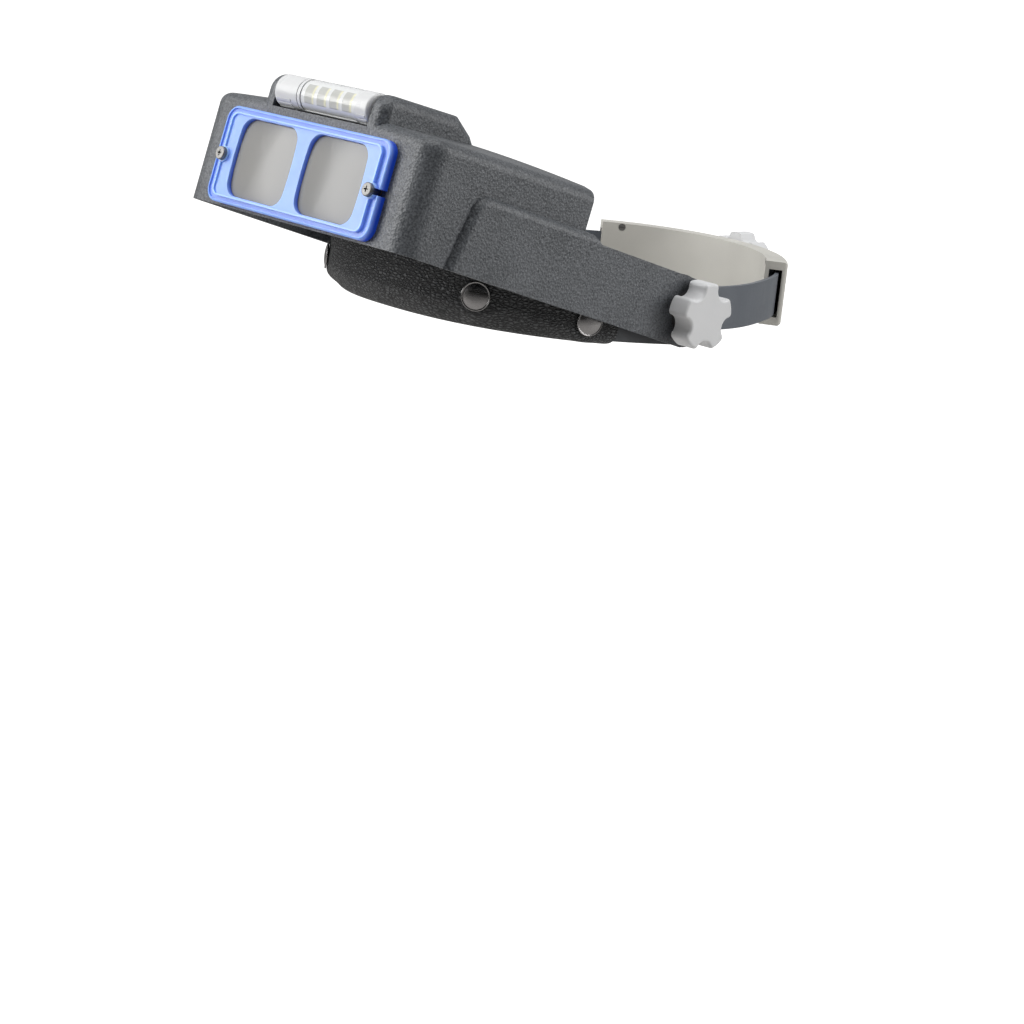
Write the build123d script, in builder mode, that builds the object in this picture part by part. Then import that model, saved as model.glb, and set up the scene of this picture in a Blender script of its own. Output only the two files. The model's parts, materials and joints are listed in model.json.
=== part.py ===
from build123d import *
from math import asin, cos, degrees, pi, radians, sin, sqrt, tan
import os

os.makedirs("parts", exist_ok=True)

# Head visor magnifier, in millimetres.
# Origin: middle of the axis about which the visor tilts. The wearer looks along -Y,
# +X is the wearer's left and +Z is up.

# ---------------------------------------------------------------- driving dimensions
visor_raise = 15.5        # the visor's tilt above the level, in degrees, as the part stands
band_rise = 4.6           # slope of the forehead band, higher at the forehead, in degrees
run_gap = 0.05            # radial clearance of a pin that turns in its hole

# Stack along the tilt axis, from the wearer's head outwards
band_x = 73.4             # inner face of the forehead band at the tilt axis
strip_t = 1.8             # thickness of the forehead band and of both straps
arm_out = 81.5            # outer face of the visor's arm
arm_t = 2.6               # thickness of the arm
arm_slope = 0.065         # the raised panel and its arm spread towards the wearer
arm_flat_y = -12.0        # the arm runs square to the tilt axis behind this y
knob_out = 93.6           # outer face of the tilt knob
bolt_r = 3.0              # radius of the bolt through arm and band

# Visor shell, in its own tilted frame
shell_t = 2.4             # wall thickness
sill_z = -14.9            # lower edge of the shell and the arms
arm_top = 14.2            # upper edge of the arm
face_y = -152.2           # front face of the shell behind the middle of the lens plate
face_z = 6.0              # height of the lens plate's middle
face_lean = 1.0           # the front face leans forward by this angle, in degrees
wall_slope = 0.036        # the side walls spread towards the wearer
wall_x = 71.15            # half width of the shell at wall_y
wall_y = -125.0
rear_y = -63.5            # rear end of the shell's side walls at the sill
corner_r = 10.0           # radius of the shell's upright corners
panel_front_y = -130.5    # front end of the raised arm panel at the sill
panel_top = 16.9          # top of the raised arm panel
hump_half = 37.4          # half width of the hump that carries the lamp
hump_top = 43.5
window_half = (42.4, 16.4)   # half sizes of the opening behind the lens plate

# Lens plate
plate_size = (104.3, 40.0)
plate_t = 4.4             # thickness over the ridge round the plate's field
slab_t = 3.6              # thickness of the bead at the edge and of the field
channel_t = 2.9           # thickness under the channel between them
bezel_t = 4.6             # thickness over the bezel round each lens
seat_t = 1.6              # depth of the lenses' seats, from behind
lens_pitch = 44.0
lens_half = (18.4, 16.0)  # half sizes of one lens
lens_bulge = 1.0          # its sides bow out by this much
lens_corner = 6.0
screw_x = 47.0            # the two screws that hold the plate
screw_v = -0.5            # their height, from the plate's middle

# Lamp
lamp_y = -148.0
lamp_z = 36.9
lamp_r = 6.8
lamp_half = 29.2
lamp_pin_r = 2.0
notch_half = 30.0         # half width of the notch that the lamp lies in
notch_floor = 29.4

# Forehead band and comfort pad
band_half_height = 15.0
pad_low = -16.6           # the pad reaches a little past the band, below and above
pad_high = 17.0
leather_t = 1.2
foam_t = 4.6
layer_gap = 0.04          # keeps neighbouring layers apart

# Rear adjuster
strap_half_height = 9.25
rear_centre_y = 39.5      # centre of the arc on which straps and housing lie
strap_r = 70.0            # radius of the middle of the strap pair
case_out = 75.6
case_in = 65.8
case_half_height = 14.3
case_half_angle = 52.0    # half the angle that the housing spans
pinion_teeth = 10
pinion_pitch_r = 5.0
tooth_pitch = pi          # rack pitch for a 1 mm module

# ---------------------------------------------------------------- frames
visor_frame = Plane.XY.rotated((-visor_raise, 0, 0))
band_frame = Plane.XY.rotated((-band_rise, 0, 0))


def on(frame, plane):
    """The plane, given in a frame's own coordinates, as a plane of the whole part."""
    return Plane(frame.location * plane.location)


def across(frame, x):
    """A plane square to X at x; its own x runs along -Y and its y along Z."""
    return on(frame, Plane(origin=(x, 0, 0), x_dir=(0, -1, 0), z_dir=(-1, 0, 0)))


lean = radians(face_lean)
face_frame = on(
    visor_frame,
    Plane(origin=(0, face_y, face_z), x_dir=(1, 0, 0), z_dir=(0, -cos(lean), -sin(lean))),
)
lamp_frame = on(visor_frame, Plane(origin=(0, lamp_y, lamp_z), x_dir=(0, -1, 0), z_dir=(1, 0, 0)))


def wall(y):
    """Half width of the shell's outer wall at y, in the visor's frame."""
    return wall_x + wall_slope * (y - wall_y)


def face_at(z):
    """The y of the leaning front face at z, in the visor's frame."""
    return face_y - (z - face_z) * tan(lean)


def local(frame, shape):
    """Centre of an edge or face in a frame's own coordinates."""
    return frame.to_local_coords(shape.center())


# ---------------------------------------------------------------- visor shell
def visor_plan(inset, back):
    """Plan outline of the shell at the sill, drawn inset from the outer wall."""
    front = face_at(sill_z) + inset
    corners = [
        (wall(back) - inset, back),
        (wall(front) - inset, front),
        (inset - wall(front), front),
        (inset - wall(back), back),
    ]
    with BuildSketch(on(visor_frame, Plane.XY.offset(sill_z))) as plan:
        with BuildLine():
            Polyline(*corners, close=True)
        make_face()
        fillet(plan.vertices().group_by(Axis.Y)[0], radius=corner_r - inset)
    return plan.sketch


def roof_form(drop):
    """Block under the crowned roof, which rises towards the wearer."""
    half = 90.0
    ahead = (-170, 30.0, 31.0)      # y, height at the sides, height in the middle
    behind = (-40, 27.5, 45.0)
    with BuildPart() as form:
        for y, side, middle in (ahead, behind):
            with BuildSketch(on(visor_frame, Plane.XZ.offset(-y))):
                with BuildLine():
                    Polyline((-half, side - drop), (-half, -40), (half, -40), (half, side - drop))
                    ThreePointArc((half, side - drop), (0, middle - drop), (-half, side - drop))
                make_face()
        loft()
    return form.part


def visor_body(inset, back):
    """Shell body without its hump: the plan, swept up along the leaning front face."""
    up_the_face = on(visor_frame, Plane(origin=(0, 0, 0), z_dir=(0, -sin(lean), cos(lean)))).z_dir
    above_roof = 62
    with BuildPart() as body:
        add(visor_plan(inset, back))
        extrude(amount=above_roof, dir=up_the_face)
        add(roof_form(inset), mode=Mode.INTERSECT)
    return body.part


def hump_profile(inset):
    """Side outline of the hump, as points of the visor's YZ plane."""
    top = hump_top - inset
    return [
        (face_at(18) + inset + 6, 18.0),
        (face_at(24) + inset, 24.0),
        (face_at(top) + inset, top),
        (-112.6, hump_top + 2.1 - inset),
        (-103.6, 40.3 - inset),
        (-99.5, 36.0 - inset),
        (-99.5, 18.0),
    ]


def hump_body(inset, corner):
    """The raised housing over the lamp, its front top edge round and its sides softened by corner."""
    half = hump_half - inset
    with BuildPart() as body:
        with BuildSketch(across(visor_frame, half)) as side:
            with BuildLine():
                Polyline(*[(-y, z) for y, z in hump_profile(inset)], close=True)
            make_face()
            fillet(side.vertices().sort_by(Axis((0, 0), (1, 1)))[-1], 7.5 - inset)
        extrude(amount=2 * half)
        sides = body.faces().group_by(Axis.X)
        rims = sides[0].edges() + sides[-1].edges()
        upper = [e for e in rims if local(visor_frame, e).Z > 24 and local(visor_frame, e).Y < -101]
        fillet(upper, corner)
    return body.part


def lamp_recess(wall_round):
    """The notch that the lamp lies in; wall_round leaves a wall for the cavity to keep."""
    with BuildPart() as notch:
        floor = notch_floor - wall_round
        back = -lamp_y - lamp_r - 0.9 - wall_round
        half = notch_half + wall_round
        with BuildSketch(across(visor_frame, half)):
            with BuildLine():
                Polyline(
                    (170, floor),
                    (back + 3, floor),
                    (back, floor + 3),
                    (back, 60),
                    (170, 60),
                    close=True,
                )
            make_face()
        extrude(amount=2 * half)
    return notch.part


def arm_solid():
    """One raised side panel with its arm and the round end about the tilt axis."""
    top_ramp_y = -57.7
    thin_from = 64.0
    panel_thick = 6.6
    outer_0 = arm_out - arm_slope * arm_flat_y
    slab_plane = on(
        visor_frame,
        Plane(origin=(outer_0, 0, 0), x_dir=(arm_slope, 1, 0), z_dir=(1, -arm_slope, 0)),
    )
    outline = [
        (panel_front_y, sill_z),
        (panel_front_y + 6, panel_top),
        (-62.0, panel_top + 0.3),
        (top_ramp_y, arm_top),
        (2, arm_top),
        (2, sill_z),
    ]
    end_r = (arm_top - sill_z) / 2
    with BuildPart() as arm:
        with BuildSketch(slab_plane) as side:
            with BuildLine():
                Polyline(*outline, close=True)
            make_face()
            fillet([v for v in side.vertices() if v.X < panel_front_y + 7 and v.Y > 0], 8)
        extrude(amount=-panel_thick)
        # behind the shell the arm is thinner, flush on its outer face
        with BuildSketch(slab_plane.offset(-arm_t)):
            Rectangle(2 * thin_from, 60)
        extrude(amount=-panel_thick, mode=Mode.SUBTRACT)
        outer_face = arm.faces().sort_by(Axis((0, 0, 0), slab_plane.z_dir))[-1]
        step = [
            e
            for e in outer_face.edges()
            if local(visor_frame, e).Y < -63 and local(visor_frame, e).Z > sill_z + 2
        ]
        fillet(step, 3.6)
        arm_side = on(visor_frame, Plane(origin=(arm_out, 0, 0), x_dir=(0, 1, 0), z_dir=(1, 0, 0)))
        with BuildSketch(arm_side):
            with Locations((0, (arm_top + sill_z) / 2)):
                Circle(end_r)
        extrude(amount=-arm_t)
        with BuildSketch(arm_side):
            Rectangle(300, 100)
        extrude(amount=12, mode=Mode.SUBTRACT)
    return arm.part


forehead_clear = (75.0, 92.0)   # semi-axes of the cut that clears the forehead
forehead_clear_y = -20.0

outer_form = visor_body(0, rear_y)
cavity_form = visor_body(shell_t, rear_y + 25)
outer_hump = hump_body(0, 5.0)
cavity_hump = hump_body(shell_t, 2.6)
recess = lamp_recess(0)
recess_wall = lamp_recess(shell_t)
side_arm = arm_solid()

with BuildPart() as visor_cavity:
    add(cavity_form)
    add(cavity_hump)
    add(recess_wall, mode=Mode.SUBTRACT)

with BuildPart() as visor_shell:
    add(outer_form)
    crown = [
        e
        for e in visor_shell.edges()
        if local(visor_frame, e).Z > 24 and local(visor_frame, e).Y < rear_y - 10
    ]
    fillet(crown, 5.0)
    add(outer_hump)
    add(side_arm)
    add(side_arm.mirror(Plane.YZ))
    add(recess, mode=Mode.SUBTRACT)
    add(visor_cavity.part, mode=Mode.SUBTRACT)
    # concave rear edge of the roof, which clears the forehead
    with BuildSketch(on(visor_frame, Plane.XY.offset(panel_top + 1))):
        with Locations((0, forehead_clear_y)):
            Ellipse(*forehead_clear)
    extrude(amount=50, mode=Mode.SUBTRACT)
    # opening behind the lens plate, with bosses for the two screw inserts
    with BuildSketch(face_frame):
        RectangleRounded(2 * window_half[0], 2 * window_half[1], 6)
    extrude(amount=-12, mode=Mode.SUBTRACT)
    with BuildSketch(face_frame.offset(0.5 - shell_t)):
        with Locations((screw_x, screw_v), (-screw_x, screw_v)):
            Circle(4.2)
    extrude(amount=-5.5)
    with BuildSketch(face_frame):
        with Locations((screw_x, screw_v), (-screw_x, screw_v)):
            Circle(2.6)
    extrude(amount=-6.4, mode=Mode.SUBTRACT)
    # sockets for the lamp's end pins, and two pips under the lamp
    with BuildSketch(lamp_frame.offset(-lamp_half - 4.6)):
        Circle(lamp_pin_r + run_gap)
    extrude(amount=2 * lamp_half + 9.2, mode=Mode.SUBTRACT)
    with BuildSketch(on(visor_frame, Plane.XY.offset(notch_floor - 1))):
        with Locations((17, lamp_y - 1.5), (-17, lamp_y - 1.5)):
            Circle(1.2)
    extrude(amount=1.5)
    # tilt bolt holes
    with BuildSketch(across(visor_frame, 90)):
        Circle(bolt_r + run_gap)
    extrude(amount=180, mode=Mode.SUBTRACT)


# ---------------------------------------------------------------- lens plate and lenses
def lens_shape(grow):
    """Outline of a lens: flat above and below, bowed at its sides; grow offsets it."""
    half_x = lens_half[0] + grow
    half_z = lens_half[1] + grow
    side_x = half_x - lens_bulge
    with BuildSketch(Plane.XY) as shape:
        with BuildLine():
            Line((-side_x, half_z), (side_x, half_z))
            ThreePointArc((side_x, half_z), (half_x, 0), (side_x, -half_z))
            Line((side_x, -half_z), (-side_x, -half_z))
            ThreePointArc((-side_x, -half_z), (-half_x, 0), (-side_x, half_z))
        make_face()
        fillet(shape.vertices(), lens_corner + grow)
    return shape.sketch


def plate_ring(x_inset, z_inset, radius):
    """Rounded rectangle inside the lens plate's outline."""
    with BuildSketch(Plane.XY) as ring:
        RectangleRounded(plate_size[0] - 2 * x_inset, plate_size[1] - 2 * z_inset, radius)
    return ring.sketch


lens_window = lens_shape(0)
lens_seat = lens_shape(0.9)
lens_rim = lens_shape(0.8)
lens_front = lens_shape(-0.15)
lens_bezel = lens_shape(2.2)
bead_inner = plate_ring(1.0, 1.0, 5.0)
ridge_outer = plate_ring(4.4, 2.6, 3.6)
ridge_inner = plate_ring(5.1, 3.2, 3.0)

with BuildPart() as lens_plate:
    with BuildSketch(face_frame):
        RectangleRounded(*plate_size, 6)
    extrude(amount=slab_t)
    rim_edges = lens_plate.faces().sort_by(Axis((0, 0, 0), face_frame.z_dir))[-1].edges()
    fillet(rim_edges, 0.8)
    # channel between the bead at the edge and the ridge round the field
    with BuildSketch(face_frame.offset(channel_t)):
        add(bead_inner)
        add(ridge_outer, mode=Mode.SUBTRACT)
    extrude(amount=2, mode=Mode.SUBTRACT)
    with BuildSketch(face_frame.offset(channel_t)):
        add(ridge_outer)
        add(ridge_inner, mode=Mode.SUBTRACT)
    extrude(amount=plate_t - channel_t)
    # a bezel round each lens
    with BuildSketch(face_frame.offset(channel_t)):
        for side in (-1, 1):
            add(Location((side * lens_pitch / 2, 0, 0)) * lens_bezel)
    extrude(amount=bezel_t - channel_t, taper=18)
    # a flat pad under each screw head
    with BuildSketch(face_frame.offset(channel_t)):
        with Locations((screw_x, screw_v), (-screw_x, screw_v)):
            Circle(3.3)
    extrude(amount=plate_t - channel_t)
    for side in (-1, 1):
        place = Location((side * lens_pitch / 2, 0, 0))
        with BuildSketch(face_frame):
            add(place * lens_window)
        extrude(amount=9, taper=-4, mode=Mode.SUBTRACT)
        with BuildSketch(face_frame):
            add(place * lens_seat)
        extrude(amount=seat_t, mode=Mode.SUBTRACT)
    # open slots that let the plate slide off the loosened screws
    with BuildSketch(face_frame):
        for side in (-1, 1):
            with Locations((side * screw_x, screw_v)):
                Circle(1.8)
            with Locations((side * (screw_x + 5), screw_v)):
                Rectangle(10, 2.6)
    extrude(amount=9, mode=Mode.SUBTRACT)


def lens_solid(side):
    """Lens with a rim in the plate's seat and a domed front."""
    dome_r = 140.0
    rim_t = seat_t - 0.5
    edge_x = 26.0
    corner_x = 21.5       # the lens's corners lie this far from its middle
    centre = on(face_frame, Plane(origin=(side * lens_pitch / 2, 0, 0.3)))

    def drop(x):
        """How far the dome has fallen at x from the lens's middle."""
        return dome_r - sqrt(dome_r**2 - x**2)

    sag = drop(corner_x)
    with BuildPart() as lens:
        with BuildSketch(centre):
            add(lens_rim)
        extrude(amount=rim_t)
        with BuildSketch(centre.offset(rim_t)):
            add(lens_front)
        extrude(amount=sag + 0.6)
        with BuildSketch(Plane(origin=centre.origin, x_dir=(1, 0, 0), z_dir=centre.y_dir)):
            with BuildLine():
                top = rim_t + sag + 0.2
                ThreePointArc(
                    (0, -top),
                    (edge_x / 2, drop(edge_x / 2) - top),
                    (edge_x, drop(edge_x) - top),
                )
                Polyline((edge_x, drop(edge_x) - top), (edge_x, 2), (0, 2), (0, -top))
            make_face()
        revolve(axis=Axis(centre.origin, centre.z_dir), mode=Mode.INTERSECT)
    return lens.part


# ---------------------------------------------------------------- lens screws
screw_spots = (screw_x, -screw_x)
with BuildPart() as screw_inserts:
    with BuildSketch(face_frame.offset(-6.2)):
        with Locations(*[(x, screw_v) for x in screw_spots]):
            Circle(2.6)
            Circle(1.5 + run_gap, mode=Mode.SUBTRACT)
    extrude(amount=6.0)


def lens_screw(x):
    """Headed screw with a cross recess; its shank turns in the insert."""
    head_low = plate_t + 0.1
    head_t = 1.7
    with BuildPart() as screw:
        with BuildSketch(face_frame.offset(-6.0)):
            with Locations((x, screw_v)):
                Circle(1.5)
        extrude(amount=6.0 + head_low)
        with BuildSketch(face_frame.offset(head_low)):
            with Locations((x, screw_v)):
                Circle(2.8)
        extrude(amount=head_t)
        front = screw.faces().sort_by(Axis((0, 0, 0), face_frame.z_dir))[-1]
        fillet(front.edges(), 0.5)
        with BuildSketch(face_frame.offset(head_low + head_t)):
            with Locations((x, screw_v)):
                Rectangle(2.6, 0.6)
                Rectangle(0.6, 2.6)
        extrude(amount=-1.0, mode=Mode.SUBTRACT)
    return screw.part


# ---------------------------------------------------------------- lamp
window_start = -12.6      # the lamp's window, along its axis
window_end = 21.0
cap_edge = -14.8          # where the twist cap meets the barrel
seam = 0.5                # open groove between them
bore_start = -13.6        # the lamp's bore, beyond the cells
neck_r = 6.0
bore_r = 5.9
cell_r = 3.95
cell_t = 3.6
led_pitch = 7.9
led_middle = 4.7


def lamp_plane(z):
    """Plane square to the lamp's axis, z from its middle."""
    return lamp_frame.offset(z)


def lamp_round(start, end, radius):
    """A round length of the lamp, about its own axis."""
    with BuildPart() as made:
        with BuildSketch(lamp_plane(start)):
            Circle(radius)
        extrude(amount=end - start)
    return made.part


def grip_ribs(start, end):
    """Three small ribs low on the front of the lamp."""
    with BuildPart() as ribs:
        for angle in (38, 56, 74):
            with BuildSketch(lamp_plane(start)):
                with PolarLocations(lamp_r - 0.2, 1, start_angle=angle):
                    Rectangle(0.8, 1.0)
            extrude(amount=end - start)
    return ribs.part


def front_sector(start, end, reach, half_angle):
    """Wedge about the lamp's front, used to open the barrel for its window."""
    with BuildPart() as wedge:
        with BuildSketch(lamp_plane(start)):
            with BuildLine():
                rim = CenterArc((0, 0), reach, -half_angle, 2 * half_angle)
                Polyline(rim @ 1, (0, 0), rim @ 0)
            make_face()
        extrude(amount=end - start)
    return wedge.part


barrel_opening = front_sector(window_start, window_end, 12, 72)
window_sector = front_sector(window_start + 0.1, window_end - 0.1, 12, 71)

with BuildPart() as lamp_barrel:
    add(lamp_round(cap_edge + seam, lamp_half, lamp_r))
    fillet(lamp_barrel.faces().sort_by(Axis.X)[-1].edges(), 1.0)
    add(grip_ribs(window_end + 2.0, lamp_half - 1.2))
    add(lamp_round(-27.0, cap_edge + seam + 0.1, neck_r))
    add(lamp_round(lamp_half - 0.5, lamp_half + 3.6, lamp_pin_r))
    add(lamp_round(bore_start, window_end + 3, bore_r), mode=Mode.SUBTRACT)
    add(lamp_round(-27.1, bore_start + 0.1, cell_r + 0.25), mode=Mode.SUBTRACT)
    add(barrel_opening, mode=Mode.SUBTRACT)

with BuildPart() as lamp_window:
    add(lamp_round(window_start + 0.1, window_end - 0.1, lamp_r - 0.4))
    add(lamp_round(window_start, window_end, bore_r + 0.05), mode=Mode.SUBTRACT)
    add(window_sector, mode=Mode.INTERSECT)

with BuildPart() as led_board:
    with BuildSketch(lamp_plane(window_start - 0.8)):
        with Locations((1.4, 0)):
            Rectangle(1.2, 10.4)
    extrude(amount=window_end - window_start + 1.6)

led_spots = [led_middle + led_pitch * k for k in (-1.5, -0.5, 0.5, 1.5)]
with BuildPart() as led_reflector:
    with BuildSketch(lamp_plane(window_start + 0.2)):
        with Locations((3.25, 0)):
            Rectangle(2.4, 7.2)
    extrude(amount=window_end - window_start - 0.4)
    for spot in led_spots:
        with BuildSketch(lamp_plane(spot - 2.75)):
            with Locations((3.25, 0)):
                Rectangle(4, 6.0)
        extrude(amount=5.5, mode=Mode.SUBTRACT)

with BuildPart() as led_chips:
    for spot in led_spots:
        with BuildSketch(lamp_plane(spot - 1.4)):
            with Locations((2.45, 0)):
                Rectangle(0.8, 3.4)
        extrude(amount=2.8)

with BuildPart() as battery_cells:
    for k in range(3):
        start = -26.9 + k * (cell_t + 0.05)
        add(lamp_round(start, start + cell_t, cell_r))

with BuildPart() as battery_spring:
    with BuildLine() as coil:
        Helix(
            pitch=0.7,
            height=0.9,
            radius=3.0,
            center=lamp_plane(-15.6).origin,
            direction=lamp_frame.z_dir,
        )
    with BuildSketch(Plane(origin=coil.line @ 0, z_dir=coil.line % 0)):
        Circle(0.2)
    sweep(path=coil.line)

with BuildPart() as lamp_end_cap:
    add(lamp_round(-lamp_half, cap_edge, lamp_r))
    fillet(lamp_end_cap.faces().sort_by(Axis.X)[0].edges(), 1.0)
    add(grip_ribs(-lamp_half + 1.2, cap_edge - 4.0))
    add(lamp_round(-lamp_half + 1.2, cap_edge + 1, neck_r + run_gap), mode=Mode.SUBTRACT)
    add(lamp_round(-lamp_half - 3.6, -lamp_half + 0.5, lamp_pin_r))

with BuildPart() as cap_contact:
    add(lamp_round(-lamp_half + 1.2, -lamp_half + 1.5, 5.4))
    add(lamp_round(-lamp_half + 1.5, -lamp_half + 2.2, 1.6))


# ---------------------------------------------------------------- tilt axis hardware
band_out = band_x + strip_t
strap_in = band_out + layer_gap
strap_out = strap_in + strip_t
washer_in = strap_out + layer_gap
arm_in = arm_out - arm_t
knob_in = arm_out + 2.2


def scalloped(count, turn, radius, scallop_centre, scallop_r, blend):
    """Outline of a star knob: a disc with round scallops, the first at turn, its lobes softened."""
    with BuildSketch(Plane.XY) as star:
        Circle(radius)
        with PolarLocations(scallop_centre, count, start_angle=turn):
            Circle(scallop_r, mode=Mode.SUBTRACT)
        fillet(star.vertices(), blend)
    return star.sketch


star_outline = scalloped(5, 67.5, 14.3, 14.5, 4.4, 1.8)


def tilt_knob():
    """Star knob on the +X side, hollow for its threaded insert."""
    knob_plane = on(visor_frame, Plane(origin=(knob_in, 0, 0), x_dir=(0, 1, 0), z_dir=(1, 0, 0)))
    with BuildPart() as knob:
        with BuildSketch(knob_plane):
            add(star_outline)
        extrude(amount=knob_out - knob_in)
        fillet(knob.faces().sort_by(Axis.X)[-1].edges(), 1.2)
        fillet(knob.faces().sort_by(Axis.X)[0].edges(), 0.6)
        with BuildSketch(knob_plane):
            Circle(5.0)
        extrude(amount=7.9, mode=Mode.SUBTRACT)
    return knob.part


def x_cylinder(start, end, radius, bore=0.0):
    """A round solid, or a tube, along the tilt axis."""
    with BuildPart() as made:
        with BuildSketch(Plane.YZ.offset(start)):
            Circle(radius)
            if bore:
                Circle(bore, mode=Mode.SUBTRACT)
        extrude(amount=end - start)
    return made.part


def tilt_bolt():
    """Coach bolt with a low domed head against the inside of the band."""
    head_r = 8.0
    head_t = 2.0
    with BuildPart() as bolt:
        add(x_cylinder(band_x - head_t, band_x, head_r))
        fillet(bolt.faces().sort_by(Axis.X)[0].edges(), 1.6)
        add(x_cylinder(band_x - 0.5, knob_in + 7.6, bolt_r))
        chamfer(bolt.faces().sort_by(Axis.X)[-1].edges(), 0.5)
    return bolt.part


knob_side = tilt_knob()
insert_side = x_cylinder(knob_in + 0.1, knob_in + 7.8, 5.0, bolt_r + run_gap)
bolt_side = tilt_bolt()
strap_washer_side = x_cylinder(washer_in, arm_in - 0.06, 12.0, bolt_r + run_gap)
knob_washer_side = x_cylinder(arm_out, knob_in - layer_gap, 9.5, bolt_r + run_gap)


# ---------------------------------------------------------------- forehead band and pad
brow_power = 2.4          # roundness of the band's plan, between an ellipse and a box
brow_centre_y = -8.0
brow_depth = 94.3         # from brow_centre_y to the band's outer face at the forehead


def brow_point(angle, inset):
    """Point of the band's plan at an angle from the forehead, inset from its outer face."""
    s = abs(sin(radians(angle)))
    c = cos(radians(angle))
    x = band_out * s ** (2 / brow_power)
    y = brow_depth * c ** (2 / brow_power)
    nx = x ** (brow_power - 1) / band_out**brow_power
    ny = y ** (brow_power - 1) / brow_depth**brow_power
    size = sqrt(nx * nx + ny * ny)
    hand = 1 if angle >= 0 else -1
    return (hand * (x - inset * nx / size), brow_centre_y - y + inset * ny / size)


def brow_angle(y):
    """The angle at which the band's outer face reaches y."""
    reach = ((brow_centre_y - y) / brow_depth) ** (brow_power / 2)
    return 90 - degrees(asin(reach))


def brow_path(inset, last):
    """Half-open plan line of one layer, from one side over the forehead to the other."""
    steps = 16
    angles = [-last + 2 * last * k / steps for k in range(steps + 1)]
    return Spline(*[brow_point(a, inset) for a in angles])


def brow_layer(inset, thickness, low, high, last, tail=0.0):
    """A curved layer of the head band; tail adds straight ends beyond the tilt axis."""
    with BuildPart() as layer:
        with BuildSketch(band_frame.offset(low)):
            with BuildLine() as route:
                brow_path(inset + thickness / 2, last)
                if tail:
                    x = band_out - inset - thickness / 2
                    Line((x, brow_centre_y), (x, tail))
                    Line((-x, brow_centre_y), (-x, tail))
            trace(route.line, line_width=thickness)
        extrude(amount=high - low)
    return layer.part


def side_profile(y_end, low, high, corner):
    """Block seen from the side that rounds off a layer's rear ends."""
    with BuildPart() as block:
        with BuildSketch(across(band_frame, 100)):
            with Locations(((-y_end + 150) / 2, (low + high) / 2)):
                RectangleRounded(150 + y_end, high - low, corner)
        extrude(amount=200)
    return block.part


pad_end_y = -29.0
snap_spots = ((-88.3, -3.5), (-47.4, -7.4))
foam_inset = strip_t + 1.0
pad_last = brow_angle(pad_end_y - 1.0)


def snap_plane(y, z, side):
    """Plane on the leather's outer face at a snap, facing outwards."""
    angle = side * brow_angle(y)
    x0, y0 = brow_point(angle, -leather_t - layer_gap)
    x1, y1 = brow_point(angle, 10)
    return on(band_frame, Plane(origin=(x0, y0, z), x_dir=(0, 0, 1), z_dir=(x0 - x1, y0 - y1, 0)))


snap_planes = [snap_plane(y, z, side) for y, z in snap_spots for side in (1, -1)]

with BuildPart() as forehead_band:
    add(brow_layer(0, strip_t, -band_half_height, band_half_height, 90, tail=band_half_height))
    add(side_profile(band_half_height, -band_half_height, band_half_height, 14.9), mode=Mode.INTERSECT)
    # the lower edge rises at the forehead, where the pad rolls in under it
    with BuildSketch(across(band_frame, 90)):
        with BuildLine():
            Polyline((44, -16), (76, -8.5), (120, -8.5), (120, -20), (44, -20), close=True)
        make_face()
    extrude(amount=180, mode=Mode.SUBTRACT)
    with BuildSketch(across(band_frame, 90)):
        Circle(bolt_r + run_gap)
    extrude(amount=180, mode=Mode.SUBTRACT)
    with BuildSketch(*snap_planes):
        Circle(1.75)
    extrude(amount=-6, mode=Mode.SUBTRACT)

pad_depth = foam_inset + foam_t + 2 * (leather_t + layer_gap)
with BuildPart() as pad_cover:
    add(brow_layer(-leather_t - layer_gap, pad_depth, pad_low, pad_high, pad_last))
    add(side_profile(pad_end_y, pad_low, pad_high, 8.0), mode=Mode.INTERSECT)
    add(
        brow_layer(
            -layer_gap,
            pad_depth - 2 * leather_t,
            pad_low + leather_t,
            pad_high - leather_t,
            pad_last + 2,
        ),
        mode=Mode.SUBTRACT,
    )
    with BuildSketch(*snap_planes):
        Circle(1.75)
    extrude(amount=-3, mode=Mode.SUBTRACT)

with BuildPart() as pad_foam:
    add(brow_layer(foam_inset, foam_t, pad_low + leather_t + 0.1, pad_high - leather_t - 0.1, pad_last))
    add(side_profile(pad_end_y - 1, pad_low + leather_t, pad_high - leather_t, 7.0), mode=Mode.INTERSECT)


def snap_cap(plane):
    """Low domed cap that shows on the leather."""
    cap_r = 6.1
    cap_t = 1.4
    with BuildPart() as cap:
        with BuildSketch(plane.offset(0.05)):
            Circle(cap_r)
        extrude(amount=cap_t)
        fillet(cap.faces().sort_by(Axis((0, 0, 0), plane.z_dir))[-1].edges(), 1.0)
    return cap.part


def snap_stud(plane):
    """Rivet from the cap through leather and band, with its flange behind the band."""
    behind = leather_t + strip_t + layer_gap + 0.15
    with BuildPart() as stud:
        with BuildSketch(plane.offset(0.05)):
            Circle(1.7)
        extrude(amount=-behind - 0.6)
        with BuildSketch(plane.offset(-behind)):
            Circle(3.8)
        extrude(amount=-0.6)
    return stud.part


snap_caps = Part() + [snap_cap(p) for p in snap_planes]
snap_studs = Part() + [snap_stud(p) for p in snap_planes]


# ---------------------------------------------------------------- rear straps
strap_mid = (strap_in + strap_out) / 2
join_angle = 25.0         # where the strap's bend meets the rear arc
strap_end_angle = 133.0
rack_angles = (78.0, 124.0)


def rear_point(radius, angle):
    """Point in plan on an arc about the rear centre."""
    return (radius * cos(radians(angle)), rear_centre_y + radius * sin(radians(angle)))


def radial_plane(radius, angle):
    """Plane tangent to the rear arc, facing outwards, with its y along Z."""
    x, y = rear_point(radius, angle)
    out = (cos(radians(angle)), sin(radians(angle)), 0)
    return Plane(origin=(x, y, 0), x_dir=(-out[1], out[0], 0), z_dir=out)


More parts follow.
